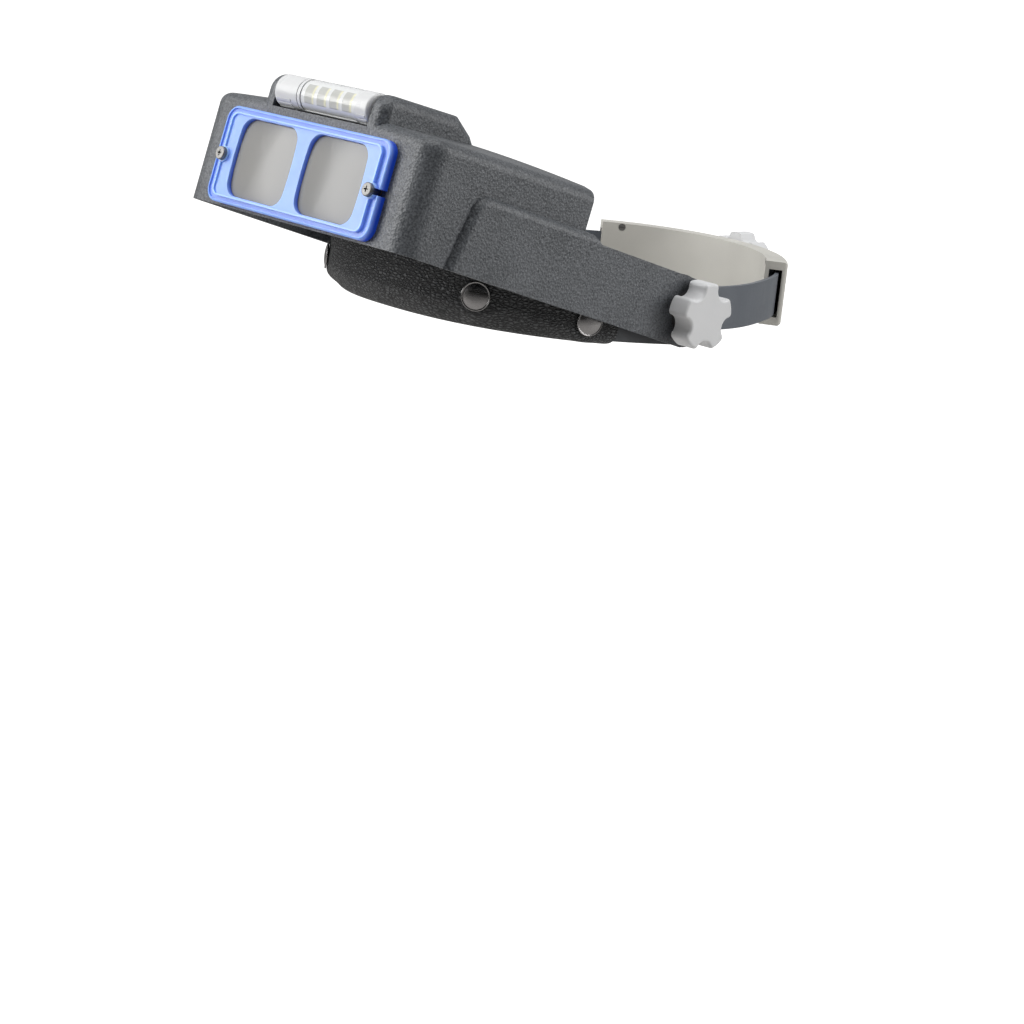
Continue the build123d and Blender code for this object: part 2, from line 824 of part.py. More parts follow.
def strap(layer, side):
    """Size strap from the tilt axis to its rack end; side 1 comes from +X, -1 from -X."""
    radius = strap_r + layer * (strip_t / 2 + 0.2)
    join = rear_point(radius, join_angle)
    heading = (-sin(radians(join_angle)), cos(radians(join_angle)))
    rise = 1 if side > 0 else -1
    with BuildPart() as tail:
        with BuildSketch(Plane.XY.offset(-strap_half_height)):
            with BuildLine() as route:
                Line((strap_mid, -strap_half_height), (strap_mid, 13))
                Spline(
                    (strap_mid, 13),
                    (strap_mid + 0.9, 27),
                    (strap_mid - 1.0, 42),
                    (strap_mid - 5.3, 55),
                    join,
                    tangents=((0, 1), heading),
                )
                CenterArc((0, rear_centre_y), radius, join_angle, strap_end_angle - join_angle)
            trace(route.line, line_width=strip_t)
        extrude(amount=2 * strap_half_height)
        # round front end about the tilt bolt, and the bolt hole
        with BuildSketch(Plane.YZ.offset(strap_in - 1)):
            Rectangle(2 * strap_half_height + 1, 2 * strap_half_height + 1)
            with Locations((strap_half_height, 0)):
                Rectangle(2 * strap_half_height, 2 * strap_half_height + 1, mode=Mode.SUBTRACT)
            Circle(strap_half_height, mode=Mode.SUBTRACT)
        extrude(amount=4, mode=Mode.SUBTRACT)
        with BuildSketch(Plane.YZ.offset(strap_in - 1)):
            Circle(bolt_r + run_gap)
        extrude(amount=4, mode=Mode.SUBTRACT)
        # rack slot: plain on one edge, toothed on the other
        first, last = rack_angles
        step = degrees(tooth_pitch / strap_r)
        with BuildSketch(Plane((0, rear_centre_y, -7.0 if rise > 0 else -4.0))):
            with BuildLine() as slot_route:
                CenterArc((0, 0), radius, first, last - first)
            trace(slot_route.line, line_width=strip_t + 1)
        extrude(amount=11.0, mode=Mode.SUBTRACT)
        spaces = [90 + step * k for k in range(-12, 13) if first + 1 < 90 + step * k < last - 1]
        for angle in spaces:
            with BuildSketch(radial_plane(radius - 2, angle)):
                with BuildLine():
                    Polyline(
                        (-1.36, rise * 3.9),
                        (1.36, rise * 3.9),
                        (0.5, rise * 6.4),
                        (-0.5, rise * 6.4),
                        close=True,
                    )
                make_face()
            extrude(amount=4, mode=Mode.SUBTRACT)
    return tail.part if side > 0 else tail.part.mirror(Plane.YZ)


strap_left = strap(1, 1)
strap_right = strap(-1, -1)


# ---------------------------------------------------------------- rear adjuster
case_span = (90 - case_half_angle, 2 * case_half_angle)
plate_out = 67.6
cavity_out = 73.5
cavity_half_height = 10.7
shaft_r = 3.0
case_screw_spots = [(angle, z) for angle in (46, 134) for z in (-12.4, 12.4)]
knob_base_y = 116.4
boss_r = 12.6


def rear_sector(inner, outer, half_height, span):
    """Part of a ring about the rear arc's centre."""
    with BuildPart() as sector:
        with BuildSketch(Plane((0, rear_centre_y, -half_height))):
            with BuildLine() as route:
                CenterArc((0, 0), (inner + outer) / 2, *span)
            trace(route.line, line_width=outer - inner)
        extrude(amount=2 * half_height)
    return sector.part


def y_round(start, end, radius):
    """A round solid along Y on the ratchet's axis."""
    with BuildPart() as made:
        with BuildSketch(Plane.XZ.offset(-start)):
            Circle(radius)
        extrude(amount=start - end)
    return made.part


with BuildPart() as adjuster_cover:
    add(rear_sector(plate_out + 0.05, case_out, case_half_height, case_span))
    outer_skin = adjuster_cover.faces().sort_by(lambda f: f.area)[-1]
    fillet(outer_skin.edges(), 1.8)
    add(y_round(112.0, knob_base_y - 0.4, boss_r))
    add(rear_sector(plate_out - 1, cavity_out, cavity_half_height, (0, 180)), mode=Mode.SUBTRACT)
    add(y_round(100.0, 130.0, shaft_r + run_gap), mode=Mode.SUBTRACT)
    for angle, z in case_screw_spots:
        with BuildSketch(radial_plane(plate_out - 1, angle)):
            with Locations((0, z)):
                Circle(1.1)
        extrude(amount=5, mode=Mode.SUBTRACT)

with BuildPart() as adjuster_plate:
    add(rear_sector(case_in, plate_out, case_half_height, case_span))
    for angle, z in case_screw_spots:
        with BuildSketch(radial_plane(case_in - 1, angle)):
            with Locations((0, z)):
                Circle(1.1)
        extrude(amount=5, mode=Mode.SUBTRACT)
        with BuildSketch(radial_plane(case_in - 1, angle)):
            with Locations((0, z)):
                Circle(1.75)
        extrude(amount=1.9, mode=Mode.SUBTRACT)


def case_screw(angle, z):
    """Small slotted screw that holds the inner plate to the cover."""
    with BuildPart() as screw:
        with BuildSketch(radial_plane(case_in + 0.1, angle)):
            with Locations((0, z)):
                Circle(1.7)
        extrude(amount=0.8)
        with BuildSketch(radial_plane(case_in + 0.1, angle)):
            with Locations((0, z)):
                Circle(1.05)
        extrude(amount=4.8)
        with BuildSketch(radial_plane(case_in + 0.1, angle)):
            with Locations((0, z)):
                Rectangle(2.2, 0.5)
        extrude(amount=0.4, mode=Mode.SUBTRACT)
    return screw.part


case_screws = Part() + [case_screw(angle, z) for angle, z in case_screw_spots]

detent_teeth = 24
ring_t = 2.6
with BuildPart() as detent_ring:
    with BuildSketch(Plane.XZ.offset(-(knob_base_y - 0.4))):
        Circle(11.6)
        Circle(9.6, mode=Mode.SUBTRACT)
        with PolarLocations(9.75, detent_teeth):
            RegularPolygon(0.75, 3, rotation=180)
    extrude(amount=-ring_t)

ring_top = knob_base_y - 0.4 + ring_t


def pinion_tooth():
    """One tooth along +X, from inside the root circle to its tip."""
    flank = [(3.3, 1.0), (4.2, 0.88), (pinion_pitch_r, 0.68), (5.85, 0.36)]
    other_flank = [(r, -half) for r, half in reversed(flank)]
    with BuildSketch(Plane.XY) as tooth:
        with BuildLine():
            Polyline(*flank, *other_flank, close=True)
        make_face()
    return tooth.sketch


gear_tooth = pinion_tooth()
pinion_low = 107.5
with BuildPart() as pinion_gear:
    with BuildSketch(Plane.XZ.offset(-pinion_low)):
        Circle(3.7)
        with PolarLocations(0, pinion_teeth, start_angle=90):
            add(gear_tooth)
    extrude(amount=-4.4)
    add(y_round(pinion_low, 124.0, shaft_r))
    add(y_round(114.0, 125.0, 1.25), mode=Mode.SUBTRACT)

knob_face_y = 126.4
ratchet_outline = scalloped(8, 22.5, 17.3, 18.2, 3.4, 1.6)
with BuildPart() as ratchet_knob:
    with BuildSketch(Plane.XZ.offset(-knob_base_y)):
        add(ratchet_outline)
    extrude(amount=knob_base_y - knob_face_y)
    fillet(ratchet_knob.faces().sort_by(Axis.Y)[-1].edges(), 1.2)
    add(y_round(knob_base_y - 1, ring_top + 1.4, 12.2), mode=Mode.SUBTRACT)
    add(y_round(110, 124.0, shaft_r), mode=Mode.SUBTRACT)
    add(y_round(120, 130.0, 1.25), mode=Mode.SUBTRACT)
    add(y_round(knob_face_y - 1.6, 130.0, 2.9), mode=Mode.SUBTRACT)

with BuildPart() as ratchet_screw:
    add(y_round(knob_face_y - 1.55, knob_face_y - 0.2, 2.8))
    add(y_round(116.0, knob_face_y - 1.0, 1.2))
    with BuildSketch(Plane.XZ.offset(-(knob_face_y - 0.2))):
        Rectangle(3.4, 0.7)
        Rectangle(0.7, 3.4)
    extrude(amount=0.7, mode=Mode.SUBTRACT)

with BuildPart() as detent_spring:
    with BuildSketch(Plane.XZ.offset(-(ring_top - 1.6))):
        Circle(4.6)
        SlotCenterToCenter(15.4, 1.7)
        Circle(shaft_r, mode=Mode.SUBTRACT)
    extrude(amount=-3.0)


# ---------------------------------------------------------------- finished pieces
def mirrored(part):
    """The same piece on the other side of the head."""
    return part.mirror(Plane.YZ)


pieces = {
    "forehead_band": forehead_band.part,
    "comfort_pad_cover": pad_cover.part,
    "comfort_pad_foam": pad_foam.part,
    "snap_caps": snap_caps,
    "snap_studs": snap_studs,
    "size_strap_left": strap_left,
    "size_strap_right": strap_right,
    "tilt_bolt_left": bolt_side,
    "tilt_bolt_right": mirrored(bolt_side),
    "strap_washer_left": strap_washer_side,
    "strap_washer_right": mirrored(strap_washer_side),
    "visor_shell": visor_shell.part,
    "lens_plate": lens_plate.part,
    "lens_left": lens_solid(1),
    "lens_right": lens_solid(-1),
    "lens_screw_inserts": screw_inserts.part,
    "knob_washer_left": knob_washer_side,
    "knob_washer_right": mirrored(knob_washer_side),
    "lens_screw_left": lens_screw(screw_x),
    "lens_screw_right": lens_screw(-screw_x),
    "lamp_barrel": lamp_barrel.part,
    "lamp_window": lamp_window.part,
    "led_board": led_board.part,
    "led_reflector": led_reflector.part,
    "led_chips": led_chips.part,
    "battery_cells": battery_cells.part,
    "battery_spring": battery_spring.part,
    "lamp_end_cap": lamp_end_cap.part,
    "cap_contact": cap_contact.part,
    "tilt_knob_left": knob_side,
    "tilt_knob_right": mirrored(knob_side),
    "knob_insert_left": insert_side,
    "knob_insert_right": mirrored(insert_side),
    "adjuster_cover": adjuster_cover.part,
    "adjuster_plate": adjuster_plate.part,
    "adjuster_screws": case_screws,
    "detent_ring": detent_ring.part,
    "pinion_gear": pinion_gear.part,
    "ratchet_knob": ratchet_knob.part,
    "ratchet_screw": ratchet_screw.part,
    "detent_spring": detent_spring.part,
}
for name, piece in pieces.items():
    piece.label = name
    export_step(piece, f"parts/{name}.step")
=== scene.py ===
import json
import math

import bmesh
import bpy
from mathutils import Matrix, Vector


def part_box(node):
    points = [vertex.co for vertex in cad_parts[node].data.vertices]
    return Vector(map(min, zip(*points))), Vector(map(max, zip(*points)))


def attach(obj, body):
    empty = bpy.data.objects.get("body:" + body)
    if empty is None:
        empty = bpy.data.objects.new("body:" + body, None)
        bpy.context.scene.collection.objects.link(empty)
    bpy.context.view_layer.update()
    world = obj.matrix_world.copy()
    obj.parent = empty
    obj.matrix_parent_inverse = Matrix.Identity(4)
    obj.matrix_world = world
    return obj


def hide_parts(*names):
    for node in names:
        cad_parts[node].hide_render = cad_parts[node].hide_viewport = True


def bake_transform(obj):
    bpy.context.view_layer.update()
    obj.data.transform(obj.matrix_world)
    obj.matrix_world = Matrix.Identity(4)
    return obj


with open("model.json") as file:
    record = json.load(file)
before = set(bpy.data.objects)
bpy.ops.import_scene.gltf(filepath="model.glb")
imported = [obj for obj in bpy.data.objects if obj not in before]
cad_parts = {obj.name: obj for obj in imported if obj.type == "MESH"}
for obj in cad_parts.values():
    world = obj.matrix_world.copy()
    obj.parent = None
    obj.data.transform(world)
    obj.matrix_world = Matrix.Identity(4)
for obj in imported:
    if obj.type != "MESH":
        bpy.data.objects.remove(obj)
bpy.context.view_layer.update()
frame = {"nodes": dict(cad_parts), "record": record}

nodes = frame["nodes"]

# ------------------------------------------------------------------ camera, light and floor
FLOOR_Z = -0.34           # the visor stays up where a head would wear it
FLOOR_HALF = 20.0
FLOOR_GLOW = (0.06, 1.0)  # what the floor gives off to the object, and to the camera
CAMERA_ANGLES = (45.82, 14.15, 6.0)     # azimuth, elevation and roll, in degrees
CAMERA_DISTANCE = 1.1354
CAMERA_TARGET = (0.0001, -0.0103, -0.1062)
CAMERA_LENS = 89.34       # in mm, on a sensor 36 mm wide
STUDIO_DIM_SIDE = (0.70, -0.68, -0.20)  # the studio is dim this way, in front of the object
STUDIO_LEVELS = (0.62, 0.02)            # its brightness away from that side, and on it
SOFTBOX_AIM = (0, -0.03, 0.02)
SOFTBOXES = (             # name, azimuth, elevation, distance, size and power in watts
    ("softbox_left", -36, 24, 1.6, (0.8, 1.3), 24),
    ("softbox_right", 126, 22, 1.6, (0.8, 1.3), 15),
    ("softbox_top", 30, 80, 1.4, (1.2, 1.2), 11),
)


def make_camera():
    """Camera at three quarters from the front on the wearer's left, a little above, and rolled."""
    azimuth, elevation, roll = (math.radians(a) for a in CAMERA_ANGLES)
    back = Vector((
        math.sin(azimuth) * math.cos(elevation),
        -math.cos(azimuth) * math.cos(elevation),
        math.sin(elevation),
    ))
    level = Vector((math.cos(azimuth), math.sin(azimuth), 0))
    upright = back.cross(level)
    right = math.cos(roll) * level + math.sin(roll) * upright
    up = -math.sin(roll) * level + math.cos(roll) * upright
    data = bpy.data.cameras.new("camera")
    data.lens = CAMERA_LENS
    data.sensor_width = 36
    data.clip_start = 0.05
    data.clip_end = 60
    camera = bpy.data.objects.new("camera", data)
    camera.matrix_world = Matrix((
        (right.x, up.x, back.x, 0),
        (right.y, up.y, back.y, 0),
        (right.z, up.z, back.z, 0),
        (0, 0, 0, 1),
    ))
    camera.location = Vector(CAMERA_TARGET) + back * CAMERA_DISTANCE
    bpy.context.scene.collection.objects.link(camera)
    bpy.context.scene.camera = camera


def make_softbox(name, azimuth, elevation, distance, size, power):
    """Rectangular area light that faces the object from an azimuth, measured as the camera's is."""
    a, e = math.radians(azimuth), math.radians(elevation)
    back = Vector((math.sin(a) * math.cos(e), -math.cos(a) * math.cos(e), math.sin(e)))
    data = bpy.data.lights.new(name, "AREA")
    data.shape = "RECTANGLE"
    data.size, data.size_y = size
    data.energy = power
    light = bpy.data.objects.new(name, data)
    light.location = Vector(SOFTBOX_AIM) + back * distance
    light.rotation_mode = "QUATERNION"
    light.rotation_quaternion = back.to_track_quat("Z", "Y")
    bpy.context.scene.collection.objects.link(light)


def make_world():
    """Studio that is white to the camera; the light that it gives the object is dimmer in front."""
    world = bpy.data.worlds.new("studio")
    bpy.context.scene.world = world
    world.use_nodes = True
    tree = world.node_tree
    tree.nodes.clear()
    coords = tree.nodes.new("ShaderNodeTexCoord")
    facing = tree.nodes.new("ShaderNodeVectorMath")
    facing.operation = "DOT_PRODUCT"
    facing.inputs[1].default_value = STUDIO_DIM_SIDE
    shade = tree.nodes.new("ShaderNodeMapRange")
    shade.inputs["From Min"].default_value = 0.0
    shade.inputs["From Max"].default_value = 0.75
    shade.inputs["To Min"].default_value = STUDIO_LEVELS[0]
    shade.inputs["To Max"].default_value = STUDIO_LEVELS[1]
    lit = tree.nodes.new("ShaderNodeBackground")
    seen = tree.nodes.new("ShaderNodeBackground")
    seen.inputs["Color"].default_value = (1, 1, 1, 1)
    path = tree.nodes.new("ShaderNodeLightPath")
    mix = tree.nodes.new("ShaderNodeMixShader")
    out = tree.nodes.new("ShaderNodeOutputWorld")
    link = tree.links.new
    link(coords.outputs["Generated"], facing.inputs[0])
    link(facing.outputs["Value"], shade.inputs["Value"])
    link(shade.outputs["Result"], lit.inputs["Strength"])
    link(path.outputs["Is Camera Ray"], mix.inputs["Fac"])
    link(lit.outputs[0], mix.inputs[1])
    link(seen.outputs[0], mix.inputs[2])
    link(mix.outputs[0], out.inputs["Surface"])


def make_floor():
    """Wide floor, white to the camera and duller for the light that it returns to the object."""
    mesh = bpy.data.meshes.new("floor")
    corners = [(x * FLOOR_HALF, y * FLOOR_HALF, FLOOR_Z) for x, y in ((-1, -1), (1, -1), (1, 1), (-1, 1))]
    mesh.from_pydata(corners, [], [(0, 1, 2, 3)])
    floor = bpy.data.objects.new("floor", mesh)
    bpy.context.scene.collection.objects.link(floor)
    paint = bpy.data.materials.new("floor_white")
    paint.use_nodes = True
    tree = paint.node_tree
    surface = tree.nodes["Principled BSDF"]
    surface.inputs["Base Color"].default_value = (0.45, 0.44, 0.43, 1)
    surface.inputs["Roughness"].default_value = 0.9
    surface.inputs["Emission Color"].default_value = (1, 1, 1, 1)
    path = tree.nodes.new("ShaderNodeLightPath")
    glow = tree.nodes.new("ShaderNodeMapRange")
    glow.inputs["To Min"].default_value = FLOOR_GLOW[0]
    glow.inputs["To Max"].default_value = FLOOR_GLOW[1]
    tree.links.new(path.outputs["Is Camera Ray"], glow.inputs["Value"])
    tree.links.new(glow.outputs["Result"], surface.inputs["Emission Strength"])
    mesh.materials.append(paint)


make_camera()
make_world()
make_floor()
for softbox in SOFTBOXES:
    make_softbox(*softbox)
bpy.context.scene.view_settings.view_transform = "Standard"


# ------------------------------------------------------------------ materials
class Finish:
    """A Principled material and the nodes that give it its grain and colour."""

    def __init__(self, name, color, roughness, **constants):
        self.material = bpy.data.materials.new(name)
        self.material.use_nodes = True
        self.tree = self.material.node_tree
        self.surface = self.tree.nodes["Principled BSDF"]
        self.color = color
        self.set("Base Color", (*color, 1))
        self.set("Roughness", roughness)
        for socket, value in constants.items():
            self.set(socket.replace("_", " "), value)
        self.coords = self.node("ShaderNodeTexCoord").outputs["Object"]

    def set(self, socket, value):
        self.surface.inputs[socket].default_value = value

    def node(self, kind, **settings):
        made = self.tree.nodes.new(kind)
        for name, value in settings.items():
            setattr(made, name, value)
        return made

    def link(self, output, target):
        self.tree.links.new(output, target)

    def stretched(self, scale):
        """Object coordinates, scaled by a vector."""
        mapping = self.node("ShaderNodeMapping")
        mapping.inputs["Scale"].default_value = scale
        self.link(self.coords, mapping.inputs["Vector"])
        return mapping.outputs["Vector"]

    def noise(self, per_metre, detail=3.0, vector=None):
        made = self.node("ShaderNodeTexNoise")
        made.inputs["Scale"].default_value = per_metre
        made.inputs["Detail"].default_value = detail
        self.link(vector or self.coords, made.inputs["Vector"])
        return made.outputs["Fac"]

    def cells(self, per_metre, feature="F1", vector=None):
        made = self.node("ShaderNodeTexVoronoi", feature=feature)
        made.inputs["Scale"].default_value = per_metre
        self.link(vector or self.coords, made.inputs["Vector"])
        return made.outputs["Distance"]

    def ranged(self, value, low, high, to_low, to_high):
        made = self.node("ShaderNodeMapRange")
        for socket, number in zip(("From Min", "From Max", "To Min", "To Max"), (low, high, to_low, to_high)):
            made.inputs[socket].default_value = number
        self.link(value, made.inputs["Value"])
        return made.outputs["Result"]

    def maths(self, operation, a, b):
        made = self.node("ShaderNodeMath", operation=operation)
        for socket, value in zip(made.inputs, (a, b)):
            if isinstance(value, (int, float)):
                socket.default_value = value
            else:
                self.link(value, socket)
        return made.outputs[0]

    def tint(self, fac, other):
        """Base colour that runs from the finish's own colour to another by fac."""
        mix = self.node("ShaderNodeMix", data_type="RGBA")
        mix.inputs["A"].default_value = (*self.color, 1)
        mix.inputs["B"].default_value = (*other, 1)
        self.link(fac, mix.inputs["Factor"])
        self.link(mix.outputs["Result"], self.surface.inputs["Base Color"])
        return mix.outputs["Result"]

    def bump(self, height, depth, strength):
        made = self.node("ShaderNodeBump")
        made.inputs["Distance"].default_value = depth
        made.inputs["Strength"].default_value = strength
        self.link(height, made.inputs["Height"])
        self.link(made.outputs["Normal"], self.surface.inputs["Normal"])

    def rough(self, value):
        self.link(value, self.surface.inputs["Roughness"])


def moulded_grain():
    """Bluish grey ABS with a fine leather-like moulded grain."""
    f = Finish("visor_plastic", (0.034, 0.038, 0.043), 0.40)
    pits = f.cells(820)
    fine = f.noise(1500, 3)
    height = f.maths("ADD", f.maths("MULTIPLY", pits, 0.8), f.maths("MULTIPLY", fine, 0.6))
    f.bump(height, 0.00022, 0.8)
    patches = f.maths("ADD", f.noise(1300, 2), f.maths("MULTIPLY", f.noise(35), 0.4))
    speckle = f.ranged(patches, 0.55, 0.85, 0, 1)
    f.tint(speckle, (0.104, 0.111, 0.121))
    f.rough(f.ranged(fine, 0.3, 0.7, 0.34, 0.54))
    return f.material


def satin(name, color, other, roughness, grain=0.00003, per_metre=700):
    """Plain moulded or painted finish with faint mottling and a slight grain."""
    f = Finish(name, color, roughness)
    f.tint(f.ranged(f.noise(25), 0.35, 0.65, 0, 1), other)
    f.rough(f.ranged(f.noise(90), 0.3, 0.7, roughness - 0.05, roughness + 0.07))
    f.bump(f.noise(per_metre, 2), grain, 0.5)
    return f.material


def metal(name, color, roughness):
    """Metal with fine scratches."""
    f = Finish(name, color, roughness, Metallic=1.0)
    scratches = f.noise(300, 4, f.stretched((1, 1, 12)))
    f.rough(f.ranged(scratches, 0.3, 0.7, roughness - 0.06, roughness + 0.12))
    f.tint(f.ranged(f.noise(60), 0.35, 0.65, 0, 1), tuple(c * 0.85 for c in color))
    f.bump(scratches, 0.00001, 0.4)
    return f.material


def joint_named(name):
    """A joint of the record, by name."""
    return next(j for j in frame["record"]["behaviour"]["joints"] if j["name"] == name)


SHADED_CHANNEL_HEIGHT = 0.0014   # the lens plate is painted a deep blue, as painted shade in its channels, up to this height over its screws' joints
FACE_HEIGHT = 0.0043      # and pale from this height


def blue_plastic():
    """Frosted, edge-lit blue of the lens plate, pale on its raised face; the deep blue in its channels is
    painted shade, and its faint glow is painted light, not a lamp.
    """
    f = Finish("lens_plate_blue", (0.012, 0.07, 0.62), 0.3, IOR=1.49)
    screw = joint_named("plate_screw_left_turn")
    out = f.node("ShaderNodeVectorMath", operation="DOT_PRODUCT")
    f.link(f.coords, out.inputs[0])
    out.inputs[1].default_value = screw["axis"]
    joint_height = Vector(screw["axis"]).dot(Vector(screw["pos_m"]))
    height = f.maths("SUBTRACT", out.outputs["Value"], joint_height)
    cloudy = f.maths("MULTIPLY", f.maths("SUBTRACT", f.noise(120, 3), 0.5), 0.0007)
    pale = f.ranged(f.maths("ADD", height, cloudy), SHADED_CHANNEL_HEIGHT, FACE_HEIGHT, 0, 1)
    mix = f.tint(pale, (0.31, 0.50, 0.93))
    # painted glow: the plate gives off a little light in its own blue, standing in for light carried through
    # the acrylic
    f.link(mix, f.surface.inputs["Emission Color"])
    f.set("Emission Strength", 0.12)
    f.set("Transmission Weight", 0.12)
    f.set("Subsurface Weight", 0.25)
    f.set("Subsurface Radius", (0.001, 0.002, 0.006))
    f.set("Subsurface Scale", 1.0)
    f.bump(f.noise(900, 3), 0.00006, 0.5)
    return f.material


def lens_painted_grey():
    """Lens painted an even warm grey, which stands in for its reflections and the shade seen through it; it
    shows little of what lies behind it.
    """
    # painted reflection and shade: a grey base colour where a clear lens would show its surroundings
    f = Finish("lens_acrylic", (0.275, 0.27, 0.258), 0.2, IOR=1.49)
    f.set("Transmission Weight", 0.12)
    f.set("Specular IOR Level", 0.3)
    f.tint(f.ranged(f.noise(22), 0.3, 0.7, 0, 1), (0.25, 0.25, 0.246))
    f.bump(f.noise(60, 1), 0.0001, 0.3)
    return f.material


LAMP_SLOPE = math.radians(15.5)   # the visor's tilt above the level at rest
DIODE_HALF = 0.0014
DIODE_COUNT = 4
PANE_HALF = 0.0037        # half height of a pane


def lamp_front():
    """Milky window over the lamp, with a pattern of four grey panes, each warm at one edge: the panes' grey
    is painted shade, for the dim inside of the lamp seen through clear panes, and the warm edge paints the
    diodes' yellow onto the window.
    """
    f = Finish("lamp_window", (0.64, 0.65, 0.65), 0.14, IOR=1.45)
    lamp = joint_named("lamp_tilt")
    low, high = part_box("led_chips")
    pitch = (high[0] - low[0] - 2 * DIODE_HALF) / (DIODE_COUNT - 1)
    first_edge = low[0] + DIODE_HALF - pitch / 2
    split = f.node("ShaderNodeSeparateXYZ")
    f.link(f.coords, split.inputs[0])
    steps = f.maths("DIVIDE", f.maths("SUBTRACT", split.outputs["X"], first_edge), pitch)
    place = f.maths("FRACT", steps, 0.0)
    off_middle = f.maths("ABSOLUTE", f.maths("SUBTRACT", place, 0.5), 0.0)
    across = f.ranged(off_middle, 0.35, 0.38, 1, 0)
    up = Vector((0, math.sin(LAMP_SLOPE), math.cos(LAMP_SLOPE)))
    height = f.node("ShaderNodeVectorMath", operation="DOT_PRODUCT")
    f.link(f.coords, height.inputs[0])
    height.inputs[1].default_value = up
    level = f.maths("SUBTRACT", height.outputs["Value"], up.dot(Vector(lamp["pos_m"])))
    tall = f.ranged(f.maths("ABSOLUTE", level, 0.0), PANE_HALF, PANE_HALF + 0.0002, 1, 0)
    half_row = DIODE_COUNT / 2
    from_middle = f.maths("ABSOLUTE", f.maths("SUBTRACT", steps, half_row), 0.0)
    inside = f.ranged(from_middle, half_row, half_row + 0.01, 1, 0)
    pane = f.maths("MULTIPLY", f.maths("MULTIPLY", across, tall), inside)
    warm = f.maths("MULTIPLY", pane, f.ranged(place, 0.66, 0.80, 0, 1))
    # painted shade: the panes are tinted grey for the dim inside of the lamp behind them
    grey = f.tint(pane, (0.56, 0.565, 0.54))
    glow = f.node("ShaderNodeMix", data_type="RGBA")
    f.link(grey, glow.inputs["A"])
    glow.inputs["B"].default_value = (0.86, 0.84, 0.62, 1)
    f.link(warm, glow.inputs["Factor"])
    f.link(glow.outputs["Result"], f.surface.inputs["Base Color"])
    f.link(f.maths("MULTIPLY", pane, 0.2), f.surface.inputs["Transmission Weight"])
    f.bump(pane, 0.0002, 0.6)
    return f.material


def leather():
    """Black pebbled leatherette, its grain drawn out along the pad, with painted highlights on the pebbles'
    tops and painted shade between them.
    """
    f = Finish("pad_leather", (0.004, 0.0045, 0.005), 0.42)
    wander = f.node("ShaderNodeTexNoise")
    wander.inputs["Scale"].default_value = 260
    f.link(f.coords, wander.inputs["Vector"])
    drift = f.node("ShaderNodeVectorMath", operation="MULTIPLY_ADD")
    f.link(wander.outputs["Color"], drift.inputs[0])
    drift.inputs[1].default_value = (0.0011, 0.0011, 0.0011)
    f.link(f.stretched((0.62, 0.62, 1.15)), drift.inputs[2])
    pebbles = f.cells(760, "DISTANCE_TO_EDGE", drift.outputs["Vector"])
    height = f.maths("POWER", f.maths("MINIMUM", f.maths("MULTIPLY", pebbles, 2.6), 1.0), 0.8)
    f.bump(f.maths("ADD", height, f.maths("MULTIPLY", f.noise(1500, 2), 0.15)), 0.00048, 0.9)
    f.rough(f.ranged(height, 0, 1, 0.65, 0.46))
    # painted highlight and shade: the pebbles' tops are lighter, the cracks between them near black
    f.tint(f.ranged(height, 0.15, 0.95, 0, 1), (0.066, 0.069, 0.072))
    return f.material


finishes = {
    "visor_plastic": moulded_grain(),
    "lens_plate_blue": blue_plastic(),
    "lens_acrylic": lens_painted_grey(),
    "steel": metal("steel", (0.24, 0.236, 0.228), 0.5),
    "brass": metal("brass", (0.72, 0.52, 0.25), 0.3),
    "washer_fibre": satin("washer_fibre", (0.015, 0.015, 0.016), (0.03, 0.03, 0.03), 0.6),
    "lamp_white": satin("lamp_white", (0.60, 0.605, 0.61), (0.57, 0.575, 0.58), 0.3),
    "lamp_window": lamp_front(),
    "circuit_board": satin("circuit_board", (0.75, 0.75, 0.72), (0.7, 0.7, 0.68), 0.4),
    "reflector": satin("reflector", (0.78, 0.78, 0.78), (0.72, 0.72, 0.72), 0.3),
    "led": satin("led", (1.0, 0.85, 0.35), (1.0, 0.8, 0.3), 0.3),
    "cell": metal("cell", (0.75, 0.75, 0.75), 0.2),
    "knob_white": satin("knob_white", (0.62, 0.625, 0.63), (0.58, 0.585, 0.595), 0.36),
    "band_plastic": satin("band_plastic", (0.045, 0.05, 0.056), (0.035, 0.04, 0.046), 0.35),
    "pad_leather": leather(),
    "foam": satin("foam", (0.06, 0.06, 0.062), (0.045, 0.045, 0.047), 0.9, 0.0002, 1500),
    "snap_metal": metal("snap_metal", (0.30, 0.292, 0.29), 0.2),
    "strap_plastic": satin("strap_plastic", (0.10, 0.112, 0.13), (0.085, 0.096, 0.112), 0.36),
    "housing_cream": satin("housing_cream", (0.50, 0.49, 0.45), (0.45, 0.44, 0.405), 0.38),
    "gear_nylon": satin("gear_nylon", (0.6, 0.59, 0.55), (0.55, 0.54, 0.5), 0.4),
}
for part in frame["record"]["subparts"]:
    mesh = nodes[part["node"]].data
    mesh.materials.clear()
    mesh.materials.append(finishes[part["material_slot"]])


# ------------------------------------------------------------------ the head band's own frame
# The band's plan is a superellipse. Lengths here and below are in metres, where no unit is given.
BAND_RISE = math.radians(4.6)
BAND_POWER = 2.4
BAND_HALF = 0.0752        # half width over the band's outer face
BAND_DEPTH = 0.0943       # from BAND_MIDDLE_Y to the band's outer face at the forehead
BAND_MIDDLE_Y = -0.008
LEATHER = 0.00124         # the leather's outer face stands this far out of the band


